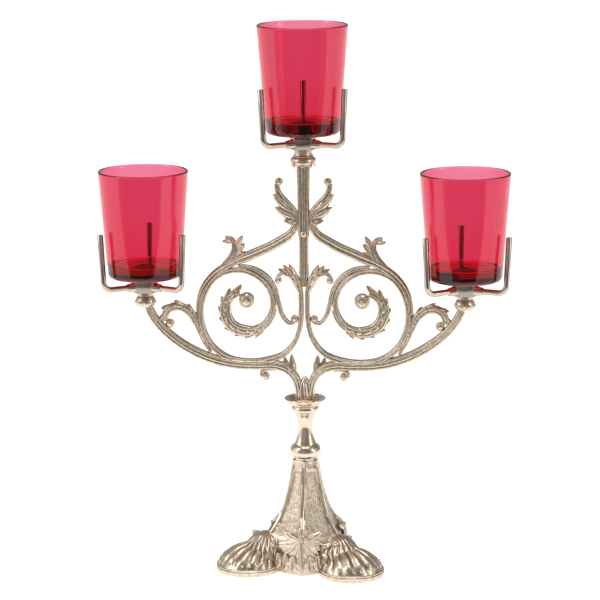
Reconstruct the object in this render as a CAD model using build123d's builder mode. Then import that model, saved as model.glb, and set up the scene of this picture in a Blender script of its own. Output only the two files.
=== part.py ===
from build123d import *
from math import cos, radians, sin, sqrt

# Three-light votive candelabra, in millimetres
# X runs along the arms, -Y is the front, +Z is up
# The origin is on the upright's axis, in the plane that the foot stands on

# Votive glass
glass_height = 76.2
glass_rim_radius = 32.0
glass_foot_radius = 26.0
glass_wall = 2.0
glass_base = 8.8
glass_heel = 3.0
glass_lip = 0.9
glass_outline = [
    (0, 0),
    (glass_foot_radius, 0),
    (glass_rim_radius, glass_height),
    (glass_rim_radius - glass_wall, glass_height),
    (glass_foot_radius - glass_wall, glass_base),
    (0, glass_base),
]

# Cup places: sideways reach, height of the seat that each glass stands on, and how far each
# screwed-on cradle is turned, in degrees
cup_reach = 113.4
side_seat = 208.5
top_seat = 311.6
cups = {
    "left": (-cup_reach, side_seat, 2.0),
    "top": (0.0, top_seat, 5.0),
    "right": (cup_reach, side_seat, 7.0),
}

# Cup hub and its three wires
hub_height = 11.0
hub_wide_face = 11.8
hub_narrow_face = 6.9
wire_radius = 2.1
wire_drop = 7.0
wire_reach = 31.6
wire_tip_reach = 33.6
wire_tip_height = 33.0
wire_bend = 6.0
wire_hole_depth = 4.2
wire_boss_radius = 3.9
wire_boss_tip_radius = 2.6
wire_boss_length = 5.5
wire_boss_sink = 2.0
wires = {"front_right": -30, "front_left": -150, "back": 90}

# Hub outline: reach of its narrow faces, and its corners round the three wires
hub_narrow_reach = (2 * hub_wide_face + hub_narrow_face) * sin(radians(60)) / 3
hub_corners = [
    Vector(hub_narrow_reach, end * hub_narrow_face / 2).rotate(Axis.Z, azimuth)
    for azimuth in (-150, -30, 90)
    for end in (-1, 1)
]

# Screwed stud between each hub and its capital
stud_radius = 2.5
stud_in_hub = 8.0
stud_in_capital = 6.0

# Scroll frame: widths are seen from the front, depths run front to back
arm_width = 7.0
arm_depth = 6.6
spiral_width = 4.2
spiral_depth = 5.6
upper_width = 5.0
upper_depth = 5.8
inner_width = 3.4
inner_depth = 4.6
side_width = 3.6
side_depth = 5.0
drop_width = 3.0
drop_depth = 4.4
leaf_depth = 3.2
edge_bevel = 1.0

# Centrelines of the scrolls: distance from the axis, height
arm_line = [
    (4.3, 121.4), (4.8, 131.0), (8.2, 138.8), (14.0, 143.6), (22.0, 145.8), (32.0, 145.6),
    (52.0, 146.4), (62.5, 148.6), (73.0, 152.3), (83.5, 157.6), (93.5, 164.4), (102.0, 172.2),
    (108.5, 181.0), (111.8, 189.5),
]
spiral_line = [
    (19.0, 208.8), (15.5, 212.0), (9.5, 212.2), (4.6, 208.0), (2.6, 199.0), (2.3, 190.0),
    (2.4, 181.0), (3.4, 172.4), (5.4, 165.6), (9.0, 159.4), (14.0, 154.4), (25.5, 149.6),
    (40.5, 147.8), (55.0, 150.8), (67.2, 160.8), (73.2, 177.0), (71.2, 195.8), (61.6, 209.4),
    (47.5, 214.0), (33.2, 209.8), (24.2, 199.6), (22.6, 186.0), (28.8, 175.0), (40.5, 171.0),
    (51.0, 174.8), (55.2, 184.0), (52.6, 193.0), (45.6, 197.0),
]
upper_line = [
    (18.6, 275.6), (17.6, 269.8), (12.0, 262.4), (6.8, 256.0), (5.2, 248.6), (8.6, 241.4),
    (20.0, 233.2), (38.0, 224.8), (54.5, 217.4), (65.4, 209.4), (73.2, 197.6), (75.4, 184.0),
]
inner_line = [
    (46.5, 216.6), (35.5, 215.2), (26.5, 209.6), (20.8, 201.0), (18.0, 190.0), (15.0, 180.6),
    (10.0, 176.2), (6.2, 178.0),
]
side_line = [
    (67.0, 154.5), (71.8, 162.4), (76.8, 173.8), (82.2, 182.6), (90.0, 186.6), (97.4, 183.6),
    (99.2, 177.0),
]
drop_line = [(20.5, 142.8), (26.0, 142.6), (30.4, 140.6), (30.6, 137.4)]

# Balls that end the scrolls: distance from the axis, height, radius
spiral_balls = [(18.2, 207.0, 2.6), (41.0, 192.4, 5.8)]
upper_balls = [(17.2, 277.4, 2.9)]
inner_balls = [(7.0, 179.4, 2.7)]
side_balls = [(96.0, 175.0, 3.3)]
drop_balls = [(27.8, 137.4, 2.9)]

# Leaf lobes on the scrolls: root, tip, width
volute_leaf = [
    ((25.0, 178.0), (36.0, 167.0), 3.6),
    ((33.0, 173.6), (46.0, 167.2), 5.0),
    ((39.0, 171.4), (53.8, 172.0), 5.5),
    ((46.0, 172.5), (58.2, 180.5), 5.5),
    ((51.5, 176.0), (58.0, 190.8), 5.5),
    ((54.6, 183.0), (54.8, 200.6), 6.0),
    ((53.0, 189.0), (46.0, 202.4), 5.5),
]
stem_leaf = [
    ((3.2, 206.0), (10.6, 218.9), 4.2),
    ((7.0, 210.5), (15.4, 216.2), 3.6),
]
upper_leaf = [
    ((9.5, 258.0), (22.6, 266.6), 5.6),
    ((6.4, 253.5), (20.6, 256.8), 5.6),
    ((5.4, 250.5), (13.8, 249.0), 3.6),
    ((8.0, 243.0), (46.0, 216.4), 5.0),
]
side_leaf = [
    ((76.2, 171.2), (80.6, 188.0), 4.4),
    ((80.2, 179.0), (87.2, 191.6), 5.0),
    ((84.2, 184.6), (97.0, 190.8), 5.2),
    ((91.2, 187.2), (100.8, 185.4), 4.2),
]
crest_leaf = [
    ((54.6, 218.4), (45.6, 232.6), 6.4),
    ((49.0, 224.4), (44.6, 239.2), 5.0),
    ((46.6, 229.0), (56.4, 236.8), 5.4),
    ((51.0, 221.0), (42.4, 230.8), 3.4),
]
notch_leaf = [((6.0, 138.0), (7.0, 149.6), 4.0)]

# Upright between the scrolls
upright_top = 289.0
upright_foot = 203.0
upright_depth = 6.4
upright_outline = [(4.9, upright_top), (4.0, 254.0), (4.0, 240.0), (3.5, 238.0), (3.5, 212.0),
                   (1.2, upright_foot)]
boss_height = 240.6
boss_radius = 2.7

# Capitals under the cups: the rounded ring, then the neck above it
top_capital_foot = [(5.4, upright_top), (9.3, 292.4), (8.2, 295.2)]
top_capital_neck = [(7.2, 295.6), (6.5, 296.6)]
side_capital_foot = [(4.6, 187.0), (7.4, 190.4), (6.6, 193.8)]
side_capital_neck = [(5.9, 194.1), (5.5, 194.8)]

# Socket that the arms grow from
socket_seat = 119.2
socket_bore_top = 129.0
socket_profile = [(7.2, socket_seat), (7.2, 121.2), (5.6, 121.6), (5.6, 131.0), (3.0, 137.0),
                  (0.0, 139.2)]

# Drip collar and turned stem: radius, height
collar_seat = 117.0
collar_underside = [(8.6, collar_seat), (12.6, 118.8), (14.9, 121.6)]
collar_inside = [(14.0, 122.2), (12.0, 120.2), (9.4, socket_seat)]
stem_seat = 77.5
stem_ring = [(8.9, 78.3), (11.3, 83.3), (8.2, 88.4)]
stem_waist = [(7.9, 88.8), (6.3, 94.0), (5.0, 101.0), (5.9, 106.6), (8.2, 111.2)]
stem_bead = [(8.2, 111.6), (9.7, 114.4), (8.6, collar_seat)]

# Tie rod, nut and washer that clamp the foot, stem, collar and socket together
rod_radius = 3.0
rod_clearance = 3.3
rod_bottom = 57.0
web_bottom = 66.0
washer_radius = 6.0
washer_thickness = 1.6
nut_across_flats = 10.0
nut_height = 5.0

# Broken edge on the ends of the rod, the studs and the wires
edge_break = 0.5

# Trefoil foot: the lobes and the ridged column are each cast slightly turned
foot_turn = -1.0
lobe_turn = -6.5
lobe_radius = 23.2
lobe_offset = 43.2
lobe_crown = 19.0
lobe_step = 1.2
lobe_azimuths = [azimuth + lobe_turn for azimuth in (-30, -150, 90)]

# Shoulder that carries each lobe's dome up to the column
shoulder_offset = 29.5
shoulder_radius = 15.4
shoulder_spring = 8.0
shoulder_crown = 26.6
foot_rim = 4.5
foot_wall = 3.0
column_outside = [(0.0, 34.0), (12.0, 32.5), (24.0, 29.6), (31.5, 24.6), (46.4, 17.2), (62.0, 12.9),
                  (stem_seat, 10.4)]
column_hollow = [(0.0, 30.5), (12.0, 29.0), (24.0, 26.0), (31.5, 21.2), (46.4, 13.8),
                 (web_bottom, 9.0)]

# Leaf sprays on the foot's ridges between the lobes: node on the ridge, how far each side of
# the spray wraps back round the column, then one side's leaflets, each with its angle from
# straight up the ridge, its length and its width
spray_azimuths = [azimuth + foot_turn for azimuth in (-90, 30, 150)]
spray_reach = 28.6
spray_height = 24.6
spray_thickness = 3.6
spray_wrap = 12
spray_upper_lean = 30
spray_lower_lean = 20
spray_upper = [(28, 11.0, 5.0), (76, 18.0, 6.5)]
spray_lower = [(108, 22.0, 8.0), (146, 20.0, 7.0), (180, 22.6, 7.5)]


def side_plane(sign):
    """The scroll frame's plane, with its first axis out along one arm and its second up."""
    return Plane(origin=(0, 0, 0), x_dir=(sign, 0, 0), z_dir=(0, -sign, 0))


def front_plane(x, z):
    """A plane that faces the front, with its origin on one cup's axis."""
    return Plane(origin=(x, 0, z), x_dir=(1, 0, 0), z_dir=(0, -1, 0))


def radial_plane(x, z, azimuth):
    """An upright plane through a vertical axis, with its first axis out along an azimuth."""
    angle = radians(azimuth)
    return Plane(
        origin=(x, 0, z),
        x_dir=(cos(angle), sin(angle), 0),
        z_dir=(sin(angle), -cos(angle), 0),
    )


def mirrored_tangent(tangent, chord):
    """The direction at the end of an arc that leaves along tangent and spans chord."""
    along = chord.normalized()
    return along * (2 * tangent.dot(along)) - tangent


def knot_tangents(knots):
    """At each knot, the direction of the circle through it and its two neighbours."""
    inner = []
    for before, knot, after in zip(knots, knots[1:], knots[2:]):
        arrive = knot - before
        leave = after - knot
        inner.append((arrive / arrive.length**2 + leave / leave.length**2).normalized())
    first = mirrored_tangent(inner[0], knots[1] - knots[0])
    last = mirrored_tangent(inner[-1], knots[-1] - knots[-2])
    return [first, *inner, last]


def arc_between(start, tangent, end):
    """The arc that leaves start along tangent and ends at end, or a line where it is straight."""
    chord = end - start
    straight = 0.004
    if abs(tangent.cross(chord.normalized()).Z) < straight:
        Line(tuple(start), tuple(end))
    else:
        TangentArc(tuple(start), tuple(end), tangent=tuple(tangent))


def tangent_arcs(points):
    """A smooth chain of tangent arcs through the points, two arcs to a span."""
    knots = [Vector(*point) for point in points]
    tangents = knot_tangents(knots)
    for start, end, leave, arrive in zip(knots, knots[1:], tangents, tangents[1:]):
        chord = end - start
        turn = 2 * (1 - leave.dot(arrive))
        reach = 2 * chord.dot(leave + arrive)
        square = chord.length**2
        handle = 2 * square / (reach + sqrt(reach**2 + 4 * turn * square))
        middle = (start + end + (leave - arrive) * handle) / 2
        arc_between(start, leave, middle)
        arc_between(middle, mirrored_tangent(leave, middle - start), end)
    return tangents[0]


def band(plane, line, width, depth):
    """A bevelled bar swept along a scroll's centreline."""
    with BuildLine(plane) as path:
        heading = tangent_arcs(line)
    start = plane.from_local_coords(Vector(*line[0]))
    ahead = plane.from_local_coords(heading)
    with BuildSketch(Plane(origin=start, x_dir=(0, 1, 0), z_dir=ahead)) as section:
        Rectangle(depth, width)
        chamfer(section.vertices(), edge_bevel)
    sweep(section.sketch, path=path.line)


def balls(plane, places):
    """The round ends of a scroll."""
    for reach, height, radius in places:
        with Locations(plane.from_local_coords(Vector(reach, height))):
            Sphere(radius)


def pointed_oval(root, tip, width):
    """One leaf lobe, as a face between two arcs."""
    start = Vector(*root)
    end = Vector(*tip)
    middle = (start + end) / 2
    across = (end - start).rotate(Axis.Z, 90).normalized() * (width / 2)
    with BuildLine() as outline:
        ThreePointArc(start, middle + across, end)
        ThreePointArc(end, middle - across, start)
    make_face(outline.edges())


def leaf(plane, lobes, depth):
    """A flat leaf of pointed lobes, centred on a plane."""
    with BuildSketch(plane) as outline:
        for root, tip, width in lobes:
            pointed_oval(root, tip, width)
    extrude(outline.sketch, amount=depth / 2, both=True)


def turned(plane, points, mode=Mode.ADD):
    """A turned solid from an outline of straight runs beside the plane's second axis."""
    with BuildSketch(plane) as outline:
        with BuildLine():
            Polyline(*points, close=True)
        make_face()
    revolve(outline.sketch, axis=Axis(plane.origin, plane.y_dir), mode=mode)


def capital(plane, foot_arc, neck, top):
    """A turned capital: a rounded ring, a neck and a tapped hole in its top."""
    with BuildSketch(plane) as outline:
        with BuildLine():
            Line((0, foot_arc[0][1]), foot_arc[0])
            ThreePointArc(*foot_arc)
            Polyline(foot_arc[-1], *neck, (neck[-1][0], top), (0, top), (0, foot_arc[0][1]))
        make_face()
    revolve(outline.sketch, axis=Axis(plane.origin, plane.y_dir))
    with Locations(plane.from_local_coords(Vector(0, top))):
        Hole(stud_radius, depth=stud_in_capital)


def save(piece, name):
    """Label a finished piece and write it out."""
    piece.label = name
    export_step(piece, f"parts/{name}.step")


# Foot: three domed lobes round a hollow six-sided column
def column(sections, mode):
    """The flared six-sided column, or its hollow, through its level sections."""
    levels = []
    for height, radius in sections:
        with BuildSketch(Plane.XY.offset(height)) as level:
            RegularPolygon(radius, 6, rotation=30 + foot_turn)
        levels.append(level.sketch)
    loft(levels, mode=mode)


def dome(azimuth, offset, wall, crown, mode):
    """A round dome beside the column: a stepped wall, then an arc up to its crown."""
    centre = Vector(offset, 0, 0).rotate(Axis.Z, azimuth)
    with BuildSketch(Plane(origin=centre, x_dir=(1, 0, 0), z_dir=(0, -1, 0))) as outline:
        with BuildLine():
            Polyline((0, crown), (0, 0), *wall)
            TangentArc((0, crown), wall[-1], tangent=(1, 0))
        make_face()
    revolve(outline.sketch, axis=Axis(centre, (0, 0, 1)), mode=mode)


def lobe(azimuth, shrink, mode):
    """One domed lobe of the foot with its stepped rim, or its hollow."""
    radius = lobe_radius - shrink
    step = foot_rim - shrink / 2
    wall = [(radius, 0), (radius, step), (radius - lobe_step, step)]
    dome(azimuth, lobe_offset, wall, lobe_crown - shrink, mode)


def half_spray(node, facing, sideways, lean, leaflets):
    """The leaflets on one side of a spray, above or below its node."""
    upward = Vector(0, 0, 1) * cos(radians(lean)) - facing * sin(radians(lean))
    with BuildSketch(Plane(origin=node, x_dir=sideways, z_dir=sideways.cross(upward))) as fan:
        for angle, length, width in leaflets:
            tip = (length * sin(radians(angle)), length * cos(radians(angle)))
            pointed_oval((0, 0), tip, width)
    extrude(fan.sketch, amount=spray_thickness / 2, both=True)


def spray(azimuth):
    """One spray of leaflets laid over a ridge of the foot."""
    outward = Vector(1, 0, 0).rotate(Axis.Z, azimuth)
    node = outward * spray_reach + Vector(0, 0, spray_height)
    for side_sign in (-1, 1):
        facing = outward.rotate(Axis.Z, side_sign * spray_wrap)
        sideways = facing.rotate(Axis.Z, side_sign * 90)
        half_spray(node, facing, sideways, spray_upper_lean, spray_upper)
        half_spray(node, facing, sideways, spray_lower_lean, spray_lower)


with BuildPart() as foot:
    column(column_outside, Mode.ADD)
    for lobe_azimuth in lobe_azimuths:
        lobe(lobe_azimuth, 0, Mode.ADD)
        shoulder_wall = [(shoulder_radius, 0), (shoulder_radius, shoulder_spring)]
        dome(lobe_azimuth, shoulder_offset, shoulder_wall, shoulder_crown, Mode.ADD)
    for spray_azimuth in spray_azimuths:
        spray(spray_azimuth)
    column(column_hollow, Mode.SUBTRACT)
    for lobe_azimuth in lobe_azimuths:
        lobe(lobe_azimuth, foot_wall, Mode.SUBTRACT)
    with Locations((0, 0, stem_seat)):
        Hole(rod_clearance)
save(foot.part, "foot")


# Tie rod with its nut and washer inside the column
with BuildPart() as tie_rod:
    with BuildSketch(Plane.XY.offset(rod_bottom)):
        Circle(rod_radius)
    extrude(amount=socket_bore_top - rod_bottom)
    chamfer(tie_rod.edges().filter_by(GeomType.CIRCLE), edge_break)
save(tie_rod.part, "tie_rod")

with BuildPart() as foot_washer:
    with BuildSketch(Plane.XY.offset(web_bottom)):
        Circle(washer_radius)
        Circle(rod_clearance, mode=Mode.SUBTRACT)
    extrude(amount=-washer_thickness)
save(foot_washer.part, "foot_washer")

with BuildPart() as foot_nut:
    with BuildSketch(Plane.XY.offset(web_bottom - washer_thickness)):
        RegularPolygon(nut_across_flats / 2, 6, major_radius=False)
        Circle(rod_radius, mode=Mode.SUBTRACT)
    extrude(amount=-nut_height)
save(foot_nut.part, "foot_nut")


# Turned stem, drip collar and socket, stacked on the foot
with BuildPart() as turned_stem:
    with BuildSketch(Plane.XZ):
        with BuildLine():
            Line((rod_clearance, collar_seat), (rod_clearance, stem_seat))
            Polyline((rod_clearance, stem_seat), (stem_ring[0][0], stem_seat), stem_ring[0])
            ThreePointArc(*stem_ring)
            Line(stem_ring[-1], stem_waist[0])
            tangent_arcs(stem_waist)
            Line(stem_waist[-1], stem_bead[0])
            ThreePointArc(*stem_bead)
            Line(stem_bead[-1], (rod_clearance, collar_seat))
        make_face()
    revolve(axis=Axis.Z)
save(turned_stem.part, "turned_stem")

with BuildPart() as drip_collar:
    with BuildSketch(Plane.XZ):
        with BuildLine():
            Line(collar_inside[-1], (rod_clearance, socket_seat))
            Line((rod_clearance, socket_seat), (rod_clearance, collar_seat))
            Line((rod_clearance, collar_seat), collar_underside[0])
            ThreePointArc(*collar_underside)
            Line(collar_underside[-1], collar_inside[0])
            ThreePointArc(*collar_inside)
        make_face()
    revolve(axis=Axis.Z)
save(drip_collar.part, "drip_collar")

with BuildPart() as arm_socket:
    turned(Plane.XZ, [(rod_radius, socket_bore_top), (rod_radius, socket_seat), *socket_profile,
                      (0, socket_bore_top)])
save(arm_socket.part, "arm_socket")


# Upright between the scrolls, and the capital on its top
with BuildPart() as center_upright:
    upright_levels = []
    for upright_reach, upright_level in upright_outline:
        with BuildSketch(Plane.XY.offset(upright_level)) as upright_section:
            Rectangle(2 * upright_reach, upright_depth)
            chamfer(upright_section.vertices(), edge_bevel)
        upright_levels.append(upright_section.sketch)
    loft(upright_levels, ruled=True)
    with Locations((0, 0, boss_height)):
        Sphere(boss_radius)
save(center_upright.part, "center_upright")

with BuildPart() as top_capital:
    capital(Plane.XZ, top_capital_foot, top_capital_neck, top_seat - hub_height)
save(top_capital.part, "top_capital")


# Scroll frame and arm capitals, one side at a time
for side, sign in (("left", -1), ("right", 1)):
    out = side_plane(sign)

    with BuildPart() as main_arm:
        band(out, arm_line, arm_width, arm_depth)
        leaf(out, notch_leaf, leaf_depth)
        turned(Plane.XZ, [(0, socket_seat), *socket_profile], Mode.SUBTRACT)
    save(main_arm.part, f"{side}_main_arm")

    with BuildPart() as spiral_scroll:
        band(out, spiral_line, spiral_width, spiral_depth)
        balls(out, spiral_balls)
        leaf(out, [*stem_leaf, *volute_leaf], leaf_depth)
    save(spiral_scroll.part, f"{side}_spiral_scroll")

    with BuildPart() as upper_scroll:
        band(out, upper_line, upper_width, upper_depth)
        balls(out, upper_balls)
        leaf(out, upper_leaf, leaf_depth)
    save(upper_scroll.part, f"{side}_upper_scroll")

    with BuildPart() as inner_scroll:
        band(out, inner_line, inner_width, inner_depth)
        balls(out, inner_balls)
    save(inner_scroll.part, f"{side}_inner_scroll")

    with BuildPart() as side_scroll:
        band(out, side_line, side_width, side_depth)
        balls(out, side_balls)
        leaf(out, side_leaf, leaf_depth)
    save(side_scroll.part, f"{side}_side_scroll")

    with BuildPart() as drop_curl:
        band(out, drop_line, drop_width, drop_depth)
        balls(out, drop_balls)
    save(drop_curl.part, f"{side}_drop_curl")

    with BuildPart() as crest:
        leaf(out, crest_leaf, leaf_depth)
    save(crest.part, f"{side}_crest_leaf")

    with BuildPart() as arm_capital:
        centred = front_plane(sign * cup_reach, 0)
        capital(centred, side_capital_foot, side_capital_neck, side_seat - hub_height)
    save(arm_capital.part, f"{side}_arm_capital")


# Cups: hub, stud, three wires and the glass
for cup, (cup_x, seat, turn) in cups.items():
    hub_bottom = Plane(origin=(cup_x, 0, seat - hub_height))
    cradle_x = Vector(1, 0, 0).rotate(Axis.Z, turn)

    with BuildPart() as cup_hub:
        with BuildSketch(Plane(origin=(cup_x, 0, seat), x_dir=cradle_x, z_dir=(0, 0, 1))):
            with BuildLine():
                Polyline(*hub_corners, close=True)
            make_face()
        extrude(amount=-hub_height)
        for azimuth in wires.values():
            outward = radial_plane(cup_x, seat - wire_drop, azimuth + turn)
            boss_root = Plane(
                origin=outward.from_local_coords(Vector(hub_narrow_reach, 0)),
                z_dir=outward.x_dir,
            )
            with BuildSketch(boss_root.offset(-wire_boss_sink)):
                Circle(wire_boss_radius)
            with BuildSketch(boss_root.offset(wire_boss_length)):
                Circle(wire_boss_tip_radius)
            loft()
        for azimuth in wires.values():
            outward = radial_plane(cup_x, seat - wire_drop, azimuth + turn)
            hole_floor = Plane(
                origin=outward.from_local_coords(Vector(hub_narrow_reach - wire_hole_depth, 0)),
                z_dir=outward.x_dir,
            )
            with BuildSketch(hole_floor):
                Circle(wire_radius)
            extrude(amount=wire_hole_depth + wire_boss_length, mode=Mode.SUBTRACT)
        with BuildSketch(hub_bottom):
            Circle(stud_radius)
        extrude(amount=stud_in_hub, mode=Mode.SUBTRACT)
    save(cup_hub.part, f"{cup}_cup_hub")

    with BuildPart() as cup_stud:
        with BuildSketch(hub_bottom.offset(-stud_in_capital)):
            Circle(stud_radius)
        extrude(amount=stud_in_capital + stud_in_hub)
        chamfer(cup_stud.edges().filter_by(GeomType.CIRCLE), edge_break)
    save(cup_stud.part, f"{cup}_cup_stud")

    for place, azimuth in wires.items():
        with BuildPart() as cup_wire:
            outward = radial_plane(cup_x, seat, azimuth + turn)
            with BuildLine(outward) as wire_path:
                FilletPolyline(
                    (hub_narrow_reach - wire_hole_depth, -wire_drop),
                    (wire_reach, -wire_drop),
                    (wire_tip_reach, wire_tip_height),
                    radius=wire_bend,
                )
            with BuildSketch(Plane(origin=wire_path.line @ 0, z_dir=wire_path.line % 0)):
                Circle(wire_radius)
            sweep()
            chamfer(cup_wire.edges().sort_by(Axis.Z)[-1], edge_break)
        save(cup_wire.part, f"{cup}_cup_wire_{place}")

    with BuildPart() as votive_glass:
        with BuildSketch(front_plane(cup_x, seat)) as glass_half:
            with BuildLine():
                Polyline(*glass_outline, close=True)
            make_face()
            fillet(glass_half.vertices().group_by(Axis.Y)[-1], glass_lip)
            low = glass_half.vertices().filter_by_position(Axis.Y, 0, glass_base)
            fillet(low.filter_by(lambda corner: corner.X > glass_heel), glass_heel)
        revolve(axis=Axis((cup_x, 0, seat), (0, 0, 1)))
    save(votive_glass.part, f"{cup}_votive_glass")
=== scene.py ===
from math import acos, ceil, cos, degrees, exp, pi, radians, sin, sqrt, tan

import bmesh
import bpy
from mathutils import Matrix, Vector
from mathutils.bvhtree import BVHTree


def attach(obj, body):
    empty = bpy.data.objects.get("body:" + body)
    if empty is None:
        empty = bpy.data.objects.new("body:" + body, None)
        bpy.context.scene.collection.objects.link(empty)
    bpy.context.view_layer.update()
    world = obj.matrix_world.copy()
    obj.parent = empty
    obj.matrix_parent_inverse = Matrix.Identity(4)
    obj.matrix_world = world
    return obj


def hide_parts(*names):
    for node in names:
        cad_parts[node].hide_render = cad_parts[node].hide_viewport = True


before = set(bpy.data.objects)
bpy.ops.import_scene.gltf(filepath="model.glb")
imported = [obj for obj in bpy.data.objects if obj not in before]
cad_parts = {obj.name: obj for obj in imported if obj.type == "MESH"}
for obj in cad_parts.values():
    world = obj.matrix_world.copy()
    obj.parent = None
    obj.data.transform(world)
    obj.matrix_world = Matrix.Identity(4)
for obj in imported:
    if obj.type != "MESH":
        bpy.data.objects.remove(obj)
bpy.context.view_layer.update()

# Sizes are written in millimetres, as in the part's source, and scaled by mm into the frame
mm = 0.001
upward = Vector((0, 0, 1))
stand = "stand"

# Edges that turn by more degrees than this stay sharp, and no leaf reaches lower than this height
sharp_angle = 42
lowest = 0.3

# Cups: sideways reach, seat height and turn of the cradle
cups = {"left": (-113.4, 208.5, 2.0), "top": (0.0, 311.6, 5.0), "right": (113.4, 208.5, 7.0)}
sides = {"left": -1, "right": 1}
wire_azimuths = {"front_right": -30, "front_left": -150, "back": 90}

# Scroll centrelines: distance from the axis and height
arm_line = [
    (4.3, 121.4), (4.8, 131.0), (8.2, 138.8), (14.0, 143.6), (22.0, 145.8), (32.0, 145.6),
    (52.0, 146.4), (62.5, 148.6), (73.0, 152.3), (83.5, 157.6), (93.5, 164.4), (102.0, 172.2),
    (108.5, 181.0), (111.8, 189.5),
]
spiral_line = [
    (19.0, 208.8), (15.5, 212.0), (9.5, 212.2), (4.6, 208.0), (2.6, 199.0), (2.3, 190.0),
    (2.4, 181.0), (3.4, 172.4), (5.4, 165.6), (9.0, 159.4), (14.0, 154.4), (25.5, 149.6),
    (40.5, 147.8), (55.0, 150.8), (67.2, 160.8), (73.2, 177.0), (71.2, 195.8), (61.6, 209.4),
    (47.5, 214.0), (33.2, 209.8), (24.2, 199.6), (22.6, 186.0), (28.8, 175.0), (40.5, 171.0),
    (51.0, 174.8), (55.2, 184.0), (52.6, 193.0), (45.6, 197.0),
]
upper_line = [
    (18.6, 275.6), (17.6, 269.8), (12.0, 262.4), (6.8, 256.0), (5.2, 248.6), (8.6, 241.4),
    (20.0, 233.2), (38.0, 224.8), (54.5, 217.4), (65.4, 209.4), (73.2, 197.6), (75.4, 184.0),
]
inner_line = [
    (46.5, 216.6), (35.5, 215.2), (26.5, 209.6), (20.8, 201.0), (18.0, 190.0), (15.0, 180.6),
    (10.0, 176.2), (6.2, 178.0),
]
side_line = [
    (67.0, 154.5), (71.8, 162.4), (76.8, 173.8), (82.2, 182.6), (90.0, 186.6), (97.4, 183.6),
    (99.2, 177.0),
]
drop_line = [(20.5, 142.8), (26.0, 142.6), (30.4, 140.6), (30.6, 137.4)]

# Widths along each scroll: share of its length, then width
arm_widths = [(0.0, 5.6), (0.08, 6.2), (0.2, 7.0), (0.5, 7.2), (0.85, 6.6), (1.0, 6.0)]
spiral_widths = [(0.0, 2.6), (0.05, 3.8), (0.2, 4.0), (0.3, 4.9), (0.45, 4.3), (0.72, 4.0),
                 (0.84, 4.8), (0.93, 4.8), (1.0, 3.4)]
upper_widths = [(0.0, 4.0), (0.14, 5.2), (0.28, 5.4), (0.36, 7.0), (0.58, 7.2), (0.63, 5.8),
                (0.8, 5.0), (1.0, 3.6)]
inner_widths = [(0.0, 3.0), (0.3, 3.6), (0.8, 3.5), (1.0, 3.0)]
side_widths = [(0.0, 2.2), (0.3, 3.8), (0.7, 4.6), (1.0, 4.2)]
drop_widths = [(0.0, 3.6), (1.0, 3.2)]

# Leaf lobes: root, tip, width and how far the tip curls sideways
stem_leaf = [
    ((2.4, 198.0), (9.4, 219.0), 7.0, -0.8), ((5.0, 204.5), (13.6, 218.6), 6.0, -0.8),
    ((8.4, 209.4), (17.6, 216.2), 5.2, -0.8),
]
upper_leaf = [
    ((8.5, 257.0), (22.6, 266.8), 7.6, 1.4), ((6.0, 252.5), (20.8, 257.2), 7.6, 1.4),
    ((5.2, 249.0), (14.0, 248.6), 5.6, 0.8), ((12.0, 262.0), (20.8, 272.8), 5.0, 0.9),
]
crest_line = [(61.5, 210.6), (56.0, 216.4), (51.2, 222.8), (48.8, 229.8), (50.8, 235.6), (55.6, 237.2)]
crest_widths = [(0.0, 5.4), (0.3, 6.4), (0.6, 5.4), (0.85, 3.8), (1.0, 2.6)]
crest_leaf = [
    ((53.0, 218.5), (42.8, 228.8), 6.0, 1.0), ((50.4, 223.0), (43.0, 234.4), 6.0, 1.0),
    ((49.0, 227.5), (44.6, 239.6), 5.8, 1.0), ((50.6, 233.8), (57.4, 236.2), 4.4, -1.0),
]
notch_leaf = [((7.0, 138.5), (10.4, 153.6), 5.6, 0.5), ((10.5, 142.0), (15.6, 151.4), 4.6, 0.5)]

# Round scroll ends: distance from the axis, height, radius
spiral_balls = [(18.2, 207.0, 2.6), (41.0, 192.4, 5.8)]
upper_balls = [(17.2, 277.4, 2.9)]
inner_balls = [(7.0, 179.4, 2.7)]
side_balls = [(96.0, 175.0, 3.3)]
drop_balls = [(27.8, 137.4, 2.9)]

# Depths, front to back
arm_depth = 6.6
spiral_depth = 5.6
upper_depth = 5.8
inner_depth = 4.6
side_depth = 5.0
drop_depth = 4.2
covering_depth = 7.0
side_leaf_depth = covering_depth * 0.85
upright_depth = 6.4

# Foot
column_turn = -1.0
lobe_turn = -6.5
column_top = 77.5
column_heights = [0.0, 12.0, 24.0, 31.5, 46.4, 62.0, column_top]
column_radii = [34.0, 32.5, 29.6, 24.6, 17.2, 12.9, 10.4]
lobe_radius = 23.18
lobe_offset = 43.2
lobe_crown = 19.0
lobe_spring = 4.5
shoulder_offset = 29.5
shoulder_radius = 15.4
shoulder_spring = 8.0
shoulder_crown = 26.6
foot_wall = 3.0
flute_count = 11
flute_depth = 1.9
rim_beads = 15
rod_hole = 3.4


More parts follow.
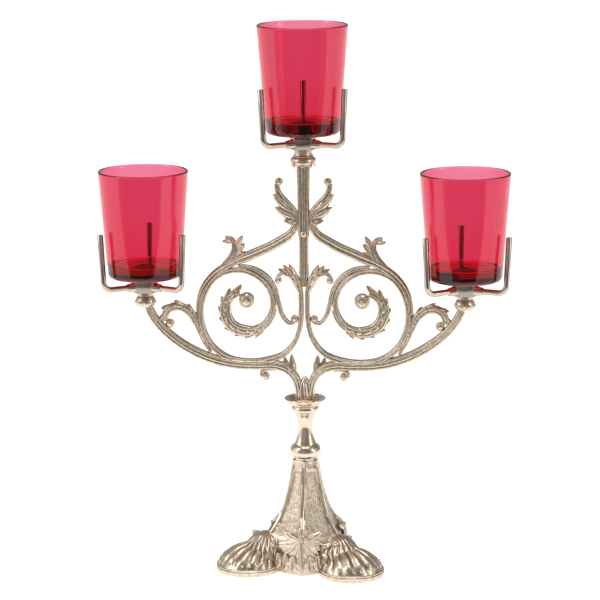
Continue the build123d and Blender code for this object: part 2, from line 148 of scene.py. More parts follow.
class Shape:
    """Points and faces that are gathered before they become one piece."""

    def __init__(self):
        self.points = []
        self.faces = []
        self.kinds = []

    def add(self, points, faces, kind=0):
        """Adds faces over new points, all of one kind or with a kind each."""
        first = len(self.points)
        self.points += [Vector(point) * mm for point in points]
        self.faces += [[first + index for index in face] for face in faces]
        self.kinds += kind if isinstance(kind, list) else [kind] * len(faces)

    def piece(self, name, materials, body, replaced=()):
        """Makes one visible piece that rides on a body and stands for the named nodes."""
        mesh = bpy.data.meshes.new(name)
        mesh.from_pydata([tuple(point) for point in self.points], [], self.faces)
        for material in materials:
            mesh.materials.append(material)
        for polygon, kind in zip(mesh.polygons, self.kinds):
            polygon.material_index = kind
            polygon.use_smooth = True
        built = bmesh.new()
        built.from_mesh(mesh)
        bmesh.ops.recalc_face_normals(built, faces=built.faces)
        built.to_mesh(mesh)
        built.free()
        mesh.set_sharp_from_angle(angle=radians(sharp_angle))
        made = bpy.data.objects.new(name, mesh)
        bpy.context.scene.collection.objects.link(made)
        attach(made, body)
        if replaced:
            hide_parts(*replaced)
        return made


def level(share, stops):
    """The value at a share of the way along a list of stops."""
    for (low, value), (high, following) in zip(stops, stops[1:]):
        if share <= high:
            return value + (following - value) * (share - low) / (high - low)
    return stops[-1][1]


def ease(value, low, high):
    """A smooth step from 0 at low to 1 at high."""
    share = min(1.0, max(0.0, (value - low) / (high - low)))
    return share * share * (3 - 2 * share)


def mirrored(tangent, chord):
    """A heading mirrored about a chord, which ends a smooth line without a kink."""
    along = chord.normalized()
    return along * (2 * tangent.dot(along)) - tangent


def smooth_line(knots, step):
    """Points and headings along a smooth line through knots, a step apart."""
    places = [Vector(knot) for knot in knots]
    inner = []
    for before, knot, after in zip(places, places[1:], places[2:]):
        arrive = knot - before
        leave = after - knot
        inner.append((arrive / arrive.length_squared + leave / leave.length_squared).normalized())
    first = mirrored(inner[0], places[1] - places[0])
    last = mirrored(inner[-1], places[-1] - places[-2])
    tangents = [first, *inner, last]
    line = []
    for start, end, leave, arrive in zip(places, places[1:], tangents, tangents[1:]):
        reach = (end - start).length
        count = max(2, ceil(reach / step))
        for index in range(count):
            t = index / count
            point = (
                start * (2 * t**3 - 3 * t**2 + 1) + leave * reach * (t**3 - 2 * t**2 + t)
                + end * (3 * t**2 - 2 * t**3) + arrive * reach * (t**3 - t**2)
            )
            slope = (
                (start - end) * (6 * t**2 - 6 * t) + leave * reach * (3 * t**2 - 4 * t + 1)
                + arrive * reach * (3 * t**2 - 2 * t)
            )
            line.append((point, slope.normalized()))
    line.append((places[-1], tangents[-1]))
    return line


def skin(rings, closed_ends=True):
    """Faces over a row of rings that all have the same number of points."""
    count = len(rings[0])
    points = [point for ring in rings for point in ring]
    faces = []
    for row in range(len(rings) - 1):
        for index in range(count):
            following = (index + 1) % count
            low = row * count
            high = low + count
            faces.append([low + index, low + following, high + following, high + index])
    if closed_ends:
        faces.append(list(range(count))[::-1])
        faces.append([(len(rings) - 1) * count + index for index in range(count)])
    return points, faces


def reeded_ring(point, across, width, depth, reeds, groove, sign):
    """One section of a reeded bar: rounded ribs on its front and its back."""
    samples = 8 * reeds + 1
    ring = []
    for facing in (-1, 1):
        for index in range(samples):
            u = facing * (2 * index / (samples - 1) - 1)
            rounding = 1 - 0.5 * abs(u) ** 5
            v = 2 * (reeds * (u + 1) / 2 % 1) - 1
            rib = groove * (1 - sqrt(1 - 0.96 * v * v))
            place = point + across * (u * width / 2)
            ring.append((sign * place.x, facing * (depth / 2 * rounding - rib), place.y))
    return ring


def reeded_bar(shape, knots, widths, depth, reeds, groove, sign, step=1.1, shift=0.0):
    """A reeded bar along a scroll's centreline, or shifted to one side of it."""
    line = smooth_line(knots, step)
    rings = []
    for index, (point, heading) in enumerate(line):
        share = index / (len(line) - 1)
        across = Vector((-heading.y, heading.x))
        width = level(share, widths)
        slim = 0.55 + 0.45 * min(1.0, width / max(size for stop, size in widths))
        centre = point - across * shift
        rings.append(reeded_ring(centre, across, width, depth * slim, reeds, groove, sign))
    shape.add(*skin(rings))


def leaf_surface(length, width, depth, curl, lift):
    """A leaf lobe with notched edges, a groove along its middle, veins and a curled tip.

    Its points are (sideways, along, towards the viewer)."""
    rows = 20
    columns = 12
    rings = []
    for row in range(rows + 1):
        s = row / rows
        half = width / 2 * (0.55 + 0.45 * ease(s, 0, 0.4)) * (1 - s**2.4) ** 0.6
        half *= 0.88 + 0.12 * abs(sin(3 * pi * s + 0.5))
        half = max(half, 0.12)
        bend = curl * (s**2) * 1.6
        rise = lift * s**2
        ring = []
        for facing in (1, -1):
            for column in range(columns + 1):
                u = facing * (2 * column / columns - 1)
                if facing < 0 and column in (0, columns):
                    continue
                thick = depth / 2 * (1 - 0.75 * abs(u) ** 2.2) * (1 - 0.4 * s)
                vein = 0.6 * exp(-((u / 0.15) ** 2)) + 0.25 * exp(-(((abs(u) - 0.58) / 0.1) ** 2))
                relief = thick - vein * sin(pi * (0.12 + 0.8 * s))
                ring.append((u * half + bend, s * length, facing * relief + rise))
        rings.append(ring)
    return skin(rings)


def frond(knots, span, count, behind, outer, forward, width, hand, curl):
    """Slanting leaf lobes in a row along a scroll, rooted on it and reaching past its edge."""
    line = smooth_line(knots, 0.8)
    lobes = []
    for index in range(count):
        share = span[0] + (span[1] - span[0]) * index / (count - 1)
        place, heading = line[round(share * (len(line) - 1))]
        outside = Vector((heading.y, -heading.x)) * hand
        root = place - heading * behind
        tip = place + outside * outer + heading * forward
        lobes.append(((root.x, root.y), (tip.x, tip.y), width, curl))
    return lobes


def flat_leaves(shape, lobes, depth, sign):
    """Leaf lobes that lie in the scroll frame's plane, seen alike from the front and the back."""
    for (root_x, root_z), (tip_x, tip_z), width, curl in lobes:
        along = Vector((tip_x - root_x, tip_z - root_z))
        length = along.length
        along.normalize()
        across = Vector((-along.y, along.x))
        points, faces = leaf_surface(length, width, depth, curl, 0)
        placed = []
        for sideways, forward, rise in points:
            x = root_x + along.x * forward + across.x * sideways
            z = root_z + along.y * forward + across.y * sideways
            placed.append((sign * x, -rise, z))
        shape.add(placed, faces)


def ball(shape, centre, radius, squash=(1, 1, 1), segments=28, rings=16):
    """A round bead."""
    sections = []
    for row in range(1, rings):
        polar = pi * row / rings
        section = []
        for index in range(segments):
            turn = 2 * pi * index / segments
            section.append((
                centre[0] + squash[0] * radius * sin(polar) * cos(turn),
                centre[1] + squash[1] * radius * sin(polar) * sin(turn),
                centre[2] + squash[2] * radius * cos(polar),
            ))
        sections.append(section)
    shape.add(*skin(sections))


def torus(shape, centre, axis, major, minor, segments=32, sides_count=10):
    """A ring round an axis."""
    axis = Vector(axis).normalized()
    first = axis.orthogonal().normalized()
    second = axis.cross(first)
    sections = []
    for index in range(segments + 1):
        turn = 2 * pi * index / segments
        outward = first * cos(turn) + second * sin(turn)
        section = []
        for part in range(sides_count):
            angle = 2 * pi * part / sides_count
            place = Vector(centre) + outward * (major + minor * cos(angle)) + axis * (minor * sin(angle))
            section.append(tuple(place))
        sections.append(section)
    shape.add(*skin(sections, closed_ends=False))


def scroll_ends(shape, places, sign):
    """The rolled ends of a scroll: a ball with a coil line and a small eye on each face."""
    for x, z, radius in places:
        centre = (sign * x, 0, z)
        ball(shape, centre, radius, (1, 0.86, 1))
        for facing in (-1, 1):
            coil = (sign * x, facing * radius * 0.6, z)
            eye = (sign * x, facing * radius * 0.74, z)
            torus(shape, coil, (0, 1, 0), radius * 0.58, radius * 0.14)
            ball(shape, eye, radius * 0.26, segments=16, rings=10)


def lathe(shape, profile, centre=(0, 0), segments=72, kind=0):
    """A turned form from (radius, height) points."""
    sections = []
    for radius, height in profile:
        section = []
        for index in range(segments):
            turn = 2 * pi * index / segments
            section.append((centre[0] + radius * cos(turn), centre[1] + radius * sin(turn), height))
        sections.append(section)
    shape.add(*skin(sections), kind=kind)


def rounded(points, step=0.5):
    """A smooth run through (radius, height) points."""
    return [tuple(place) for place, heading in smooth_line(points, step)]


def around(centre, azimuth, reach, height):
    """A point at a reach and an azimuth from an upright axis."""
    angle = radians(azimuth)
    return Vector((centre[0] + reach * cos(angle), centre[1] + reach * sin(angle), height))


# Leaves that follow their scroll
volute_line = spiral_line[21:]
volute_widths = [(0.0, 4.0), (0.22, 5.0), (0.42, 8.6), (0.75, 8.8), (0.92, 6.4), (1.0, 3.2)]
volute_leaf = frond(volute_line, (0.27, 0.97), 9, 4.2, 6.8, 4.2, 5.2, 1, 0.8)
arch_line = side_line[1:]
arch_widths = [(0.0, 3.0), (0.3, 5.6), (0.75, 6.2), (1.0, 4.4)]
side_leaf = frond(arch_line, (0.22, 0.96), 6, 3.4, 5.6, 3.4, 5.0, -1, -0.8)


# Materials
def material(name, colour, roughness, metallic=1.0):
    """A material of one colour, a metal unless metallic says otherwise."""
    made = bpy.data.materials.new(name)
    made.use_nodes = True
    shader = made.node_tree.nodes["Principled BSDF"]
    shader.inputs["Base Color"].default_value = (*colour, 1)
    shader.inputs["Roughness"].default_value = roughness
    shader.inputs["Metallic"].default_value = metallic
    return made


def colour_sockets(sockets):
    """The colour sockets of a mix node, which also has hidden ones of other kinds."""
    return [socket for socket in sockets if socket.type == "RGBA"]


def product(tree, first, second):
    """Two colours multiplied."""
    node = tree.nodes.new("ShaderNodeMix")
    node.data_type = "RGBA"
    node.blend_type = "MULTIPLY"
    node.inputs[0].default_value = 1.0
    first_input, second_input = colour_sockets(node.inputs)
    tree.links.new(first, first_input)
    tree.links.new(second, second_input)
    return colour_sockets(node.outputs)[0]


def calculated(tree, operation, first, second):
    """The result of a math node on two values, either of which may be a plain number."""
    node = tree.nodes.new("ShaderNodeMath")
    node.operation = operation
    for place, value in enumerate((first, second)):
        if isinstance(value, (int, float)):
            node.inputs[place].default_value = value
        else:
            tree.links.new(value, node.inputs[place])
    return node.outputs["Value"]


def patina_and_painted_light(made, bright, dark, low, high, mottle):
    """Darkens the recesses of a metal with tarnish and painted shade, paints its edges lighter as a painted
    highlight, and mottles it a little.
    """
    tree = made.node_tree
    shader = tree.nodes["Principled BSDF"]
    geometry = tree.nodes.new("ShaderNodeNewGeometry")
    ramp = tree.nodes.new("ShaderNodeValToRGB")
    ramp.color_ramp.elements[0].position = low
    ramp.color_ramp.elements[0].color = (*dark, 1)
    ramp.color_ramp.elements[1].position = high
    ramp.color_ramp.elements[1].color = (*bright, 1)
    place = tree.nodes.new("ShaderNodeTexCoord")
    cloud = tree.nodes.new("ShaderNodeTexNoise")
    cloud.inputs["Scale"].default_value = 420
    cloud.inputs["Detail"].default_value = 6
    veil = tree.nodes.new("ShaderNodeValToRGB")
    veil.color_ramp.elements[0].position = 0.36
    veil.color_ramp.elements[0].color = (mottle, mottle * 0.94, mottle * 0.86, 1)
    veil.color_ramp.elements[1].position = 0.58
    veil.color_ramp.elements[1].color = (1, 1, 1, 1)
    tree.links.new(place.outputs["Object"], cloud.inputs["Vector"])
    tree.links.new(cloud.outputs["Fac"], veil.inputs["Fac"])
    tree.links.new(geometry.outputs["Pointiness"], ramp.inputs["Fac"])
    mottled = product(tree, ramp.outputs["Color"], veil.outputs["Color"])
    tree.links.new(mottled, shader.inputs["Base Color"])


def grain(made, scale, strength, distance, cells=False):
    """A fine bump: cast grain, or the punched dots of a matted ground."""
    tree = made.node_tree
    shader = tree.nodes["Principled BSDF"]
    place = tree.nodes.new("ShaderNodeTexCoord")
    texture = tree.nodes.new("ShaderNodeTexVoronoi" if cells else "ShaderNodeTexNoise")
    texture.inputs["Scale"].default_value = scale
    bump = tree.nodes.new("ShaderNodeBump")
    bump.inputs["Strength"].default_value = strength
    bump.inputs["Distance"].default_value = distance
    height = texture.outputs["Distance"] if cells else texture.outputs["Fac"]
    tree.links.new(place.outputs["Object"], texture.inputs["Vector"])
    tree.links.new(height, bump.inputs["Height"])
    tree.links.new(bump.outputs["Normal"], shader.inputs["Normal"])


# Cast and stippled brass: hollows darkened by tarnish and painted shade, edges lightened by a painted
# highlight
cast = material("cast_brass", (0.74, 0.62, 0.48), 0.28)
patina_and_painted_light(cast, (0.82, 0.70, 0.56), (0.17, 0.12, 0.075), 0.435, 0.502, 0.78)
grain(cast, 900, 0.4, 0.0002)
stippled = material("stippled_brass", (0.66, 0.54, 0.39), 0.38)
patina_and_painted_light(stippled, (0.84, 0.72, 0.57), (0.50, 0.40, 0.29), 0.45, 0.50, 0.75)
grain(stippled, 850, 0.8, 0.0005, cells=True)
polished = material("polished_brass", (0.80, 0.68, 0.54), 0.17)
cradle = material("cradle_brass", (0.62, 0.53, 0.43), 0.16)
# A darker copy of the cradle brass: painted shade for the dark reflection on the hub's faces
painted_shade_cradle = material("painted_shade_cradle_brass", (0.40, 0.34, 0.28), 0.24)
steel = material("steel", (0.56, 0.56, 0.56), 0.3)

# Ruby glass: a clear surface, and a body that swallows green and blue
ruby = bpy.data.materials.new("ruby_glass")
ruby.use_nodes = True
ruby_surface = ruby.node_tree.nodes["Principled BSDF"]
ruby_surface.inputs["Base Color"].default_value = (0.86, 0.79, 0.80, 1)
ruby_surface.inputs["Roughness"].default_value = 0.0
ruby_surface.inputs["IOR"].default_value = 1.5
ruby_surface.inputs["Transmission Weight"].default_value = 1.0
ruby_body = ruby.node_tree.nodes.new("ShaderNodeVolumeAbsorption")
ruby_body.inputs["Color"].default_value = (0.96, 0.0, 0.31, 1)
ruby_body.inputs["Density"].default_value = 700
ruby.node_tree.links.new(
    ruby_body.outputs["Volume"], ruby.node_tree.nodes["Material Output"].inputs["Volume"]
)


# Scroll frame: for each scroll its bars, its leaves and their depth, and its rolled ends
scrolls = {
    "main_arm": (
        [dict(knots=arm_line, widths=arm_widths, depth=arm_depth, reeds=3, groove=0.8)],
        notch_leaf, covering_depth, [],
    ),
    "spiral_scroll": (
        [dict(knots=spiral_line, widths=spiral_widths, depth=spiral_depth, reeds=2, groove=0.7),
         dict(knots=volute_line, widths=volute_widths, depth=spiral_depth, reeds=3, groove=0.4, shift=1.1)],
        stem_leaf + volute_leaf, covering_depth, spiral_balls,
    ),
    "upper_scroll": (
        [dict(knots=upper_line, widths=upper_widths, depth=upper_depth, reeds=2, groove=0.8)],
        upper_leaf, covering_depth, upper_balls,
    ),
    "inner_scroll": (
        [dict(knots=inner_line, widths=inner_widths, depth=inner_depth, reeds=2, groove=0.6)],
        [], covering_depth, inner_balls,
    ),
    "side_scroll": (
        [dict(knots=side_line, widths=side_widths, depth=side_depth, reeds=2, groove=0.6),
         dict(knots=arch_line, widths=arch_widths, depth=side_depth, reeds=2, groove=0.35, shift=-0.7)],
        side_leaf, side_leaf_depth, side_balls,
    ),
    "drop_curl": (
        [dict(knots=drop_line, widths=drop_widths, depth=drop_depth, reeds=1, groove=0.3, step=0.6)],
        [], covering_depth, drop_balls,
    ),
    "crest_leaf": (
        [dict(knots=crest_line, widths=crest_widths, depth=inner_depth, reeds=2, groove=0.35, step=0.7)],
        crest_leaf, inner_depth, [],
    ),
}
for side, sign in sides.items():
    for scroll, (bars, lobes, lobe_depth, ends) in scrolls.items():
        member = Shape()
        for bar in bars:
            reeded_bar(member, sign=sign, **bar)
        flat_leaves(member, lobes, lobe_depth, sign)
        scroll_ends(member, ends, sign)
        member.piece(f"{side}_{scroll}_cast", [cast], stand, [f"{side}_{scroll}"])


# Upright: half widths by height
upright_levels = [(203.0, 1.4), (212.0, 3.5), (236.0, 3.5), (240.0, 4.0), (254.0, 4.05), (289.0, 4.9)]
upright_foot = 203.0
upright_length = 86.0
upright_rows = 60
upright = Shape()
upright_rings = []
for row in range(upright_rows + 1):
    height = upright_foot + upright_length * row / upright_rows
    width = 2 * level(height, upright_levels)
    upright_rings.append(reeded_ring(Vector((0, height)), Vector((1, 0)), width, upright_depth, 3, 1.0, 1))
upright.add(*skin(upright_rings))
for facing in (-1, 1):
    ball(upright, (0, facing * 1.6, 240.6), 2.7)
upright.piece("center_upright_cast", [cast], stand, ["center_upright"])


# Capitals
def hanging_leaf(shape, centre, azimuth, reach, height, lean, surface):
    """A leaf that hangs from a point beside an upright axis and leans outward."""
    outward = around((0, 0), azimuth, 1, 0)
    sideways = upward.cross(outward)
    down = (outward * lean - upward).normalized()
    normal = sideways.cross(down) * -1
    root = around(centre, azimuth, reach, height)
    points, faces = surface
    placed = [root + sideways * a + down * b + normal * c for a, b, c in points]
    shape.add([(place.x, place.y, max(place.z, lowest)) for place in placed], faces)


for side, sign in sides.items():
    centre = (cups[side][0], 0)
    capital = Shape()
    lathe(capital, [(0.01, 187.0), (4.6, 187.0)] + rounded([(4.8, 187.0), (6.8, 188.2), (7.4, 190.4),
          (6.9, 192.6), (6.3, 193.8)]) + [(5.6, 194.0), (5.5, 194.4), (5.9, 194.8), (5.5, 195.2),
          (5.4, 197.5), (0.01, 197.5)], centre)
    for bead in range(12):
        ball(capital, tuple(around(centre, 30 * bead, 6.9, 190.6)), 1.15, segments=14, rings=8)
    capital.piece(f"{side}_arm_capital_cast", [cast], stand, [f"{side}_arm_capital"])

crown = Shape()
lathe(crown, [(0.01, 289.0), (5.4, 289.0)] + rounded([(5.8, 289.2), (8.2, 290.2), (9.0, 292.4),
      (8.5, 294.4), (7.6, 295.2)]) + [(7.1, 295.3), (7.3, 295.9), (6.7, 296.6), (6.5, 297.2),
      (6.5, 300.6), (0.01, 300.6)])
crown_leaves = 8
for index in range(crown_leaves):
    azimuth = -90 + 360 * index / crown_leaves
    hanging_leaf(crown, (0, 0), azimuth, 7.2, 294.6, 0.35, leaf_surface(6.4, 5.4, 1.6, 0, -1.2))
crown.piece("top_capital_cast", [cast], stand, ["top_capital"])


# Socket, collar and turned stem
socket = Shape()
socket_rings = []
socket_profile = rounded([(6.6, 119.2), (7.2, 120.0), (6.6, 121.2)]) + rounded(
    [(5.6, 121.8), (5.5, 126.0), (4.8, 130.5), (2.8, 135.0), (0.4, 138.0)])
for radius, height in socket_profile:
    section = []
    for index in range(64):
        turn = 2 * pi * index / 64
        rough = 0.35 * sin(9 * turn + 0.16 * height) * ease(height, 121, 124) * (1 - ease(height, 130, 136))
        reach = max(0.05, radius + rough)
        section.append((reach * cos(turn), reach * sin(turn), height))
    socket_rings.append(section)
socket.add(*skin(socket_rings))
socket.piece("arm_socket_cast", [cast], stand, ["arm_socket"])

collar = Shape()
lathe(collar, rounded([(rod_hole, 117.05), (8.6, 117.05), (12.4, 118.4), (14.6, 121.2)])
      + rounded([(14.8, 121.7), (14.5, 122.15), (14.0, 121.9)])
      + rounded([(13.7, 121.2), (12.0, 119.8), (9.0, 119.25), (rod_hole, 119.2)])
      + [(rod_hole, 117.05)],
      segments=96)
collar.piece("drip_collar_turned", [polished], stand, ["drip_collar"])

stem = Shape()
lathe(stem, [(rod_hole, 77.55), (8.6, 77.55), (8.9, 77.9), (8.9, 78.6)]
      + rounded([(9.0, 79.0), (10.7, 80.8), (11.25, 83.3), (10.6, 86.0), (8.6, 88.2)])
      + [(8.2, 88.4), (8.0, 88.7)]
      + rounded([(7.9, 89.0), (6.5, 93.0), (5.4, 97.6), (5.0, 101.6), (5.7, 106.4), (7.8, 110.6)])
      + [(8.2, 111.2), (8.3, 111.6)]
      + rounded([(8.6, 111.9), (9.6, 113.2), (9.6, 115.4), (8.6, 116.8)])
      + [(8.2, 117.0), (rod_hole, 117.0)],
      segments=96)
stem.piece("turned_stem_turned", [polished], stand, ["turned_stem"])


# Foot: column
def column_radius(height):
    """The ridge radius of the six-sided column at a height."""
    return level(height, column_stops)


column_stops = [(height, radius) for radius, height in rounded(list(zip(column_radii, column_heights)), 0.8)]
foot = Shape()
column_samples = 144
column_rows = 88
panel_foot = 26
panel_top = 70
panel_margin = 2.6
column_rings = []
for row in range(column_rows + 1):
    height = column_top * row / column_rows
    ridge = column_radius(height)
    ring = []
    for index in range(column_samples):
        azimuth = 30 + column_turn + index * 360 / column_samples
        off_ridge = (index * 360 / column_samples + 30) % 60 - 30
        reach = ridge * cos(radians(30)) / cos(radians(30 - abs(off_ridge)))
        gap = reach * radians(abs(off_ridge))
        border = 0.6 * exp(-(((gap - 1.4) / 0.5) ** 2)) - 0.9 * exp(-((gap / 0.45) ** 2))
        panel = ease(gap, 2.0, panel_margin) * ease(height, 24, 27) * (1 - ease(height, 69, 71))
        reach += border * ease(height, 20, 26) * (1 - ease(height, 72, 75)) - 0.9 * panel - 0.3
        ring.append(tuple(around((0, 0), azimuth, reach, height)))
    column_rings.append(ring)
column_kinds = []
for row in range(column_rows):
    height = column_top * (row + 0.5) / column_rows
    for index in range(column_samples):
        off_ridge = ((index + 0.5) * 360 / column_samples + 30) % 60 - 30
        gap = column_radius(height) * radians(abs(off_ridge))
        column_kinds.append(1 if gap > panel_margin and panel_foot < height < panel_top else 0)
foot.add(*skin(column_rings, closed_ends=False), column_kinds)
hollow = [(0.05, 66.0), (7.0, 66.0), (13.0, 46.0), (20.0, 31.0), (25.0, 24.0), (27.0, 0.05), (28.6, 0.05)]
lathe(foot, hollow, segments=72)
lathe(foot, [(rod_hole, 77.4), (9.0, 77.4), (9.0, 75.0)], segments=72)


# Foot: lobes
def cap_height(reach, radius, spring, crown):
    """The height of a round dome at a reach from its axis."""
    rise = crown - spring
    sphere = (radius**2 + rise**2) / (2 * rise)
    return crown - sphere + sqrt(max(0.0, sphere**2 - reach**2))


def lobe(shape, azimuth):
    """One lobe: a fluted shell that spreads from its shoulder to a beaded, stepped rim."""
    outward = around((0, 0), azimuth, 1, 0)
    sideways = upward.cross(outward)
    centre = outward * lobe_offset
    back = lobe_offset - shoulder_offset
    edge = lobe_radius - 1.2
    rays = 180
    steps = 26
    sections = []
    for step in range(1, steps + 1):
        s = step / steps
        section = []
        for ray in range(rays):
            angle = 2 * pi * ray / rays
            span = back * cos(angle) + sqrt(edge**2 - (back * sin(angle)) ** 2)
            x = -back + span * s * cos(angle)
            y = span * s * sin(angle)
            reach = sqrt(x * x + y * y)
            height = cap_height(min(reach, edge), edge, lobe_spring, lobe_crown)
            near = sqrt((x + back) ** 2 + y * y)
            if near < shoulder_radius:
                saddle = cap_height(near, shoulder_radius, shoulder_spring, shoulder_crown)
                height = max(height, saddle) + 1.2 * exp(-abs(height - saddle) / 2.4)
            flute = 1 - abs(cos(flute_count * angle)) ** 0.8
            height -= flute_depth * flute * ease(s, 0.12, 0.5) * (1 - 0.7 * ease(s, 0.9, 1.0))
            height += 0.9 * exp(-(((s - 0.9) / 0.05) ** 2)) * (1 - flute)
            place = centre + outward * x + sideways * y + upward * max(height, 3.8)
            section.append(tuple(place))
        sections.append(section)
    shape.add(*skin(sections))
    rim = [(edge - 1.0, 3.6), (edge - 0.2, 4.6), (edge + 0.5, 4.9), (lobe_radius - 0.1, 4.3),
           (lobe_radius - 0.3, 3.5), (lobe_radius - 0.5, 3.2), (lobe_radius, 2.8), (lobe_radius, 0.4),
           (lobe_radius - 0.4, 0.0), (lobe_radius - foot_wall, 0.0), (lobe_radius - foot_wall, 4.0),
           (lobe_radius - 6.0, 9.6), (lobe_radius - 12.0, 13.4), (lobe_radius - 18.0, 15.4), (0.05, 16.0)]
    lathe(shape, rim, (centre.x, centre.y), segments=96)
    bead_reach = edge - 1.5
    for bead in range(rim_beads):
        turn = azimuth - 105 + 15 * bead
        place = around((centre.x, centre.y), turn, bead_reach, 0)
        place.z = cap_height(bead_reach, edge, lobe_spring, lobe_crown) + 0.1
        ball(shape, tuple(place), 1.25 if bead % 2 else 1.0, segments=14, rings=8)


for azimuth in (-30, -150, 90):
    lobe(foot, azimuth + lobe_turn)
foot.piece("foot_cast", [cast, stippled], stand, ["foot"])


# Foot: leaf sprays on the ridges between the lobes, as (angle, length, width, lift)
spray_upper = [(27, 12.5, 6.4, 0.8), (74, 19.0, 7.6, 1.2)]
spray_lower = [(106, 22.0, 9.6, 1.8), (136, 21.0, 9.0, 1.6), (160, 21.5, 7.4, 1.2)]
spray_tip = [(180, 22.8, 7.6, 1.0)]
spray_reach = 29.4
spray_height = 24.6
upper_lean = 30
lower_lean = 14
hem_reach = 31.6
petal_turn = 10.5
petal_root = 13.0
search_start = 24
search_length = 40
deepest_step = -4.0
highest_step = 8.0
sprays = Shape()
foot_skin = BVHTree.FromPolygons(foot.points, foot.faces)


def draped(azimuth, flat, lean, rise):
    """A point of a spray laid on the foot's skin, found along a line that comes in from above."""
    turned = azimuth + degrees(flat.x / spray_reach)
    reach = spray_reach - flat.y * sin(radians(lean))
    height = max(0.6, spray_height + flat.y * cos(radians(lean)))
    guess = around((0, 0), turned, reach, height)
    incoming = (around((0, 0), turned, 1, 0) + upward * 0.6).normalized()
    hit = foot_skin.ray_cast((guess + incoming * search_start) * mm, -incoming, search_length * mm)[0]
    found = guess if hit is None else hit / mm
    step = (found - guess).dot(incoming)
    place = guess + incoming * (max(deepest_step, min(highest_step, step)) + 0.4 + rise)
    return (place.x, place.y, max(place.z, lowest))


def half_spray(azimuth, hand, lean, leaflets):
    """The leaflets on one side of a spray, above or below its node."""
    for angle, length, width, lift in leaflets:
        along = Vector((hand * sin(radians(angle)), cos(radians(angle))))
        across = Vector((along.y, -along.x))
        points, faces = leaf_surface(length, width, 3.4, -0.6 * hand, lift)
        sprays.add([draped(azimuth, across * a + along * b, lean, c) for a, b, c in points], faces)


for azimuth in (-90 + column_turn, 30 + column_turn, 150 + column_turn):
    for place in range(-3, 4):
        root_height = petal_root + 0.6 * abs(place)
        petal = leaf_surface(11.2, 8.4, 3.0, 0, 0.5)
        hanging_leaf(sprays, (0, 0), azimuth + petal_turn * place, hem_reach, root_height, 0.16, petal)
    for hand in (-1, 1):
        half_spray(azimuth, hand, upper_lean, spray_upper)
        half_spray(azimuth, hand, lower_lean, spray_lower)
        curl = draped(azimuth, Vector((hand * 21.0, -5.4)), lower_lean, 1.2)
        ball(sprays, curl, 2.3)
    half_spray(azimuth, 1, lower_lean, spray_tip)
    ball(sprays, draped(azimuth, Vector((0, 0)), lower_lean, 1.0), 2.0)
sprays.piece("foot_leaf_sprays", [cast], stand)


# Cups: hub, wires and glass
wire_level = -7.0
wire_radius = 2.1
wire_bend = 6.0


def frustum(shape, start, end, start_radius, end_radius, segments=32):
    """A round bar or a cone between two points."""
    axis = (end - start).normalized()
    first = axis.orthogonal().normalized()
    second = axis.cross(first)
    sections = []
    for place, radius in ((start, start_radius), (start + axis * 0.01, start_radius),
                          (end - axis * 0.4, end_radius), (end, end_radius * 0.86)):
        section = []
        for index in range(segments):
            turn = 2 * pi * index / segments
            section.append(tuple(place + (first * cos(turn) + second * sin(turn)) * radius))
        sections.append(section)
    shape.add(*skin(sections))


def bent_wire(shape, centre, seat, azimuth):
    """A cradle wire: out from the hub, round a bend and up beside the glass."""
    corner = Vector((31.6, wire_level))
    tip = Vector((33.6, 33.0))
    leave = Vector((1, 0))
    arrive = (tip - corner).normalized()
    turn = acos(leave.dot(arrive))
    back = wire_bend * tan(turn / 2)
    middle = corner - leave * back + Vector((0, wire_bend))
    line = [Vector((reach, wire_level)) for reach in (6.0, 14.0, 20.0)]
    for index in range(17):
        angle = -pi / 2 + turn * index / 16
        line.append(middle + Vector((cos(angle), sin(angle))) * wire_bend)
    line += [corner + arrive * 14, tip - arrive * 0.5, tip]
    outward = around((0, 0), azimuth, 1, 0)
    sideways = upward.cross(outward)
    sections = []
    for index, place in enumerate(line):
        before = line[max(0, index - 1)]
        after = line[min(len(line) - 1, index + 1)]
        heading = (after - before).normalized()
        across = Vector((-heading.y, heading.x))
        radius = wire_radius if index < len(line) - 1 else wire_radius - 0.4
        section = []
        for part in range(28):
            angle = 2 * pi * part / 28
            flat = place + across * (radius * cos(angle))
            spot = outward * flat.x + sideways * (radius * sin(angle)) + upward * (flat.y + seat)
            section.append((centre + spot.x, spot.y, spot.z))
        sections.append(section)
    shape.add(*skin(sections))


